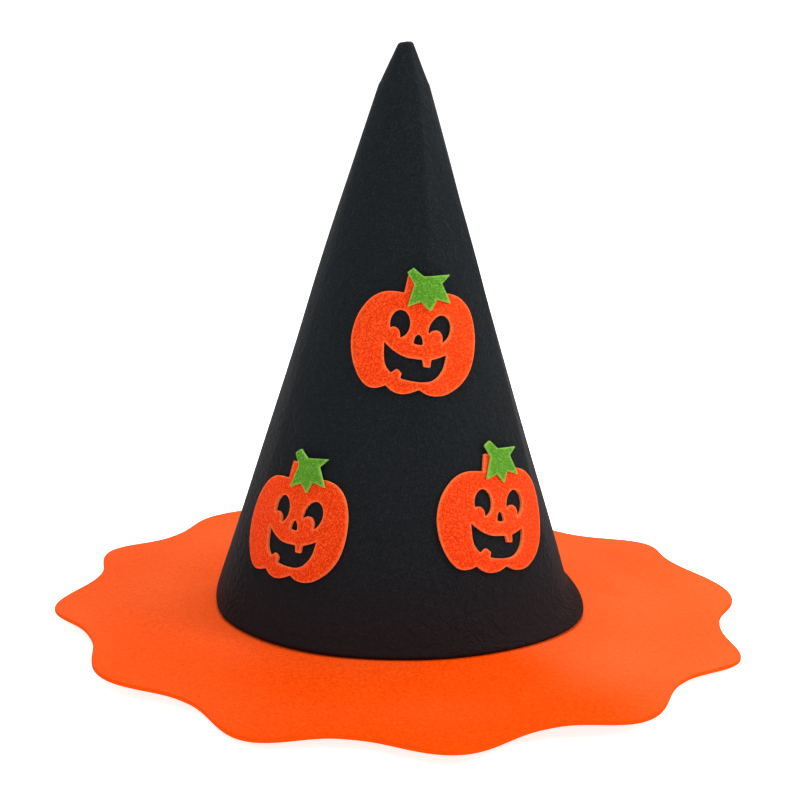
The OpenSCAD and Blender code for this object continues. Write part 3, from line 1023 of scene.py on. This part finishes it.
LOWER_TOOTH = [[-10.2, -14.8], [-7, -12.2], [-4.4, -14.2], [-5.6, -18.5], [-11, -18.5]]


def oval(centre, half, lean):
    """An ellipse as a loop of points, turned about its centre."""
    a = np.linspace(0, 2 * math.pi, 48, endpoint=False)
    ring = np.stack([half[0] * np.cos(a), half[1] * np.sin(a)], -1)
    return turned(ring, lean) + np.array(centre)


def cut_away(loop, bite):
    """A loop less another one. The points of the loop outside the bite are kept, as one run, and
    the bite's points that lie in the loop, as one run the other way, close it."""
    kept = ~inside(loop, bite)
    start = int(np.argmax(kept & ~np.roll(kept, 1)))
    loop, kept = np.roll(loop, -start, 0), np.roll(kept, -start)
    used = inside(bite, loop)
    bite_start = int(np.argmax(used & ~np.roll(used, 1)))
    bite, used = np.roll(bite, -bite_start, 0), np.roll(used, -bite_start)
    outer, back = loop[kept], bite[used]
    if np.linalg.norm(back[0] - outer[-1]) > np.linalg.norm(back[-1] - outer[-1]):
        back = back[::-1]
    return np.concatenate([outer, back])


def clockwise(loop):
    """The loop turned so that it runs clockwise, as a hole does: its signed area is negative."""
    x, y = loop[:, 0], loop[:, 1]
    area = (x * np.roll(y, -1) - np.roll(x, -1) * y).sum()
    return loop if area < 0 else loop[::-1]


outline = np.concatenate([smooth_curve(c) for c in (LEFT_LOBE, MIDDLE_LOBE, RIGHT_LOBE)] + [STEM])
left_eye = cut_away(oval((-7.6, 9.2), (4.9, 6.6), 0), oval((-10.4, 3.3), (3.4, 4.2), 0))
right_eye = cut_away(oval((11.3, 8.7), (5.4, 7.0), -14), oval((9.3, 3.8), (3.6, 4.3), 0))
mouth = evenly(np.concatenate([smooth_curve(UPPER_LIP), smooth_curve(LOWER_LIP)]), 0.5)
for tooth in (UPPER_TOOTH, LOWER_TOOTH):
    mouth = cut_away(mouth, evenly(np.array(tooth), 0.5))
face_cuts = (left_eye, right_eye, smooth_curve(NOSE), mouth)
face_holes = [clockwise(evenly(hole, 0.7)) for hole in face_cuts]
pumpkin_loops = [clockwise(evenly(outline, 0.8))[::-1]] + face_holes
print("pumpkin pattern:", [len(loop) for loop in pumpkin_loops], "points in its cuts")

# %% Pumpkins on the crown
GLUE = 0.3
PUMPKIN_FELT = 1.5
LEAF_FELT = 1.2
# Turn round the crown in degrees, height in millimetres, lean in degrees, sideways stretch
PLACES = {
    "top": (9.7, 147.0, -7.1, 1.0),
    "left": (-40.0, 59.9, 1.4, 0.98),
    "right": (40.8, 64.6, -10.1, 1.05),
}
for side, place in PLACES.items():
    pumpkin = felt_cut(f"pumpkin_felt_{side}", pumpkin_loops, place, GLUE, PUMPKIN_FELT)
    finish_piece(pumpkin, pumpkin_felt, [f"pumpkin_{side}"])

# %% Leaves
LEAF = [
    [-3.6, 36.0], [1.3, 32.7], [12.6, 35.0], [9.0, 30.2], [14.6, 21.6], [7.4, 22.5],
    [5.6, 16.6], [1.4, 20.6], [-4.5, 17.3], [-2.5, 28.4], [-6.3, 33.5],
]
LEAF_MIDDLE = np.array([4, 26.5])
# How far each leaf sits off its place: sideways and up in millimetres, and a turn in degrees
LEAF_SHIFTS = {"top": (-0.2, 0.1, 0), "left": (1.3, 2.1, -5), "right": (-1.0, 2.2, -4)}


def leaf_pattern(points, shift):
    """The leaf's points moved sideways and up, and turned about the leaf's middle."""
    return turned(np.asarray(points, float) - LEAF_MIDDLE, shift[2]) + LEAF_MIDDLE + shift[:2]


for side, place in PLACES.items():
    star = leaf_pattern(LEAF, LEAF_SHIFTS[side])
    loop = clockwise(evenly(star, 0.6))[::-1]
    leaf = felt_cut(f"leaf_felt_{side}", [loop], place, 2 * GLUE + PUMPKIN_FELT, LEAF_FELT, 1.0)
    finish_piece(leaf, leaf_felt, [f"leaf_{side}"])

# %% [markdown]
# ## Glue
#
# Each pumpkin is held by five spots of hot melt and each leaf by one. A spot spreads as it is
# pressed, so it is a low round cushion between the two layers of felt.


# %% Glue spots
def glue_spots(name, spots, node):
    """Low cushions. A point is the spot's centre plus radius * (cos a, sin a) * sqrt(sin b), and
    its height is the gap's middle plus half the gap times cos b, with b from 0 to pi."""
    b = np.linspace(0, math.pi, 9)[1:-1]
    a = np.linspace(0, 2 * math.pi, 24, endpoint=False)
    b, a = np.meshgrid(b, a, indexing="ij")
    points, faces = [], []
    count = b.size + 2
    for k, (place, centre, radius, base) in enumerate(spots):
        reach = np.sqrt(np.sin(b.ravel()))
        x = centre[0] + radius * reach * np.cos(a.ravel())
        y = centre[1] + radius * reach * np.sin(a.ravel())
        x, y = np.append(x, [centre[0]] * 2), np.append(y, [centre[1]] * 2)
        lift = base + GLUE / 2 * (1 + np.append(np.cos(b.ravel()), [1, -1]))
        points.append(on_crown(np.stack([x, y], -1), place, lift))
        faces += ring_faces(b.shape[0], b.shape[1], start=k * count, ends="fans")
    piece = as_object(name, np.concatenate(points), faces)
    finish_piece(piece, hot_melt, [node])


PUMPKIN_SPOTS = [(-22, 5), (23.5, 4), (-20, -14), (20.5, -13), (2, 20)]
LEAF_SPOT = [(4.8, 21.2)]
glue_spots(
    "glue_behind_pumpkins",
    [(place, spot, 3.0, 0.0) for place in PLACES.values() for spot in PUMPKIN_SPOTS],
    "pumpkin_glue",
)
glue_spots(
    "glue_behind_leaves",
    [
        (place, leaf_pattern(LEAF_SPOT, LEAF_SHIFTS[side])[0], 1.6, GLUE + PUMPKIN_FELT)
        for side, place in PLACES.items()
    ],
    "leaf_glue",
)

# %% [markdown]
# ## Care label
#
# A blank satin label is sewn to the interlining at the back, above the sweatband. Only its top
# edge is held, so it hangs clear of the wall towards its foot and curls a little sideways.

# %% Label
label_low, label_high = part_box("care_label")
LABEL_W = 20 * MM
LABEL_T = 0.3 * MM
LABEL_FALL = 2.4 * MM
LABEL_CURL = 0.8 * MM
WALL_BEND = 60 * MM
LABEL_BEND = 80 * MM


def label_point(across, z, depth):
    """A point of the label: the interlining's inner face at the back, moved in by depth, by a
    curl that grows with the square of the distance below the sewn edge, and by a side curl."""
    middle = crown_point(math.pi, z)
    fall = (label_high[2] - z) / (label_high[2] - label_low[2])
    away = LABEL_FALL * fall**2 + LABEL_CURL * fall * (across / (LABEL_W / 2)) ** 2
    wall_r = crown_radius(math.pi - across / WALL_BEND, z) - CROWN_FELT - LINING
    y = wall_r * np.cos(across / LABEL_BEND) - 0.1 * MM - depth - away
    return np.stack(np.broadcast_arrays(middle[..., 0] + across, y, z), -1)


across = np.linspace(-LABEL_W / 2, LABEL_W / 2, 25)
down = np.linspace(label_high[2], label_low[2], 33)
across_grid, down_grid = np.meshgrid(across, down)
face_row = label_point(across_grid, down_grid, 0.0)
back_row = label_point(across_grid[:, ::-1], down_grid, LABEL_T)
label_rows = np.concatenate([face_row, back_row], 1)
row_count = label_rows.shape[1]
label_faces = ring_faces(len(down), row_count)
k = np.arange(row_count // 2 - 1)
last_row = (len(down) - 1) * row_count
top_cap = np.stack([k, k + 1, row_count - 2 - k, row_count - 1 - k], -1)
label_faces += top_cap.tolist() + (last_row + top_cap[:, ::-1]).tolist()
both_ways = np.concatenate([across_grid, across_grid[:, ::-1]], 1)
label_flat = np.stack([np.repeat(down[:, None], row_count, 1), both_ways], -1)
label = as_object("care_label_satin", label_rows, label_faces, flat=label_flat.reshape(-1, 2))
finish_piece(label, label_satin, ["care_label"])

stitch_count = 4
stitch_x = (np.arange(stitch_count) - (stitch_count - 1) / 2) * STITCH_PITCH
stitch_z = np.full(stitch_count, label_high[2] - 2 * MM)
label_at = label_point(stitch_x, stitch_z, LABEL_T + 0.1 * MM)
stitches(
    "label_thread_white", label_at,
    np.broadcast_to([1.0, 0.0, 0.0], label_at.shape),
    np.broadcast_to([0.0, -1.0, 0.0], label_at.shape),
    white_thread, ["label_thread"],
)

# %% [markdown]
# ## Floor and light
#
# The hat stands on a white acrylic sheet that is lit from below, as for a picture on pure white.
# A large soft box hangs over its back, a smaller one on its right brings out the folds, and a
# bluish window light falls on the tip from the left. White walls all round fill the shadows.

# %% Floor
floor_acrylic = cloudy(
    "matt_white_acrylic", "#F6F6F6", "#FBFBFB", 3.0,
    {"Roughness": 0.9, "Emission Color": (1, 1, 1, 1), "Emission Strength": 0.8},
)
FLOOR_REACH = 15.0
floor_z = lowest - 0.02 * MM
corners = np.array([[-1, -1, 0], [1, -1, 0], [1, 1, 0], [-1, 1, 0]]) * FLOOR_REACH
floor = as_object("floor", corners + [0, 0, floor_z], [[0, 1, 2, 3]])
floor.data.materials.append(floor_acrylic)


# %% Lights
def soft_box(name, at, toward, size, power):
    """A square area light that faces a point."""
    data = bpy.data.lights.new(name, "AREA")
    data.size = size
    data.energy = power
    light = bpy.data.objects.new(name, data)
    bpy.context.scene.collection.objects.link(light)
    light.location = at
    light.rotation_euler = (Vector(at) - Vector(toward)).to_track_quat("Z", "Y").to_euler()
    return light


soft_box("top_box", (0.1, 0.25, 0.9), (0, 0, 0.05), 0.8, 9.0)
soft_box("side_box", (0.65, -0.2, 0.5), (0, 0, 0.2), 0.3, 3.4)
window = soft_box("window", (-0.3, -0.35, 0.65), (0, 0, 0.27), 0.3, 1.7)
window.data.color = (0.78, 0.92, 1.0)

world = bpy.data.worlds.new("white_studio")
world.use_nodes = True
world.node_tree.nodes["Background"].inputs["Color"].default_value = (1, 1, 1, 1)
world.node_tree.nodes["Background"].inputs["Strength"].default_value = 0.5
bpy.context.scene.world = world
bpy.context.scene.view_settings.view_transform = "Standard"
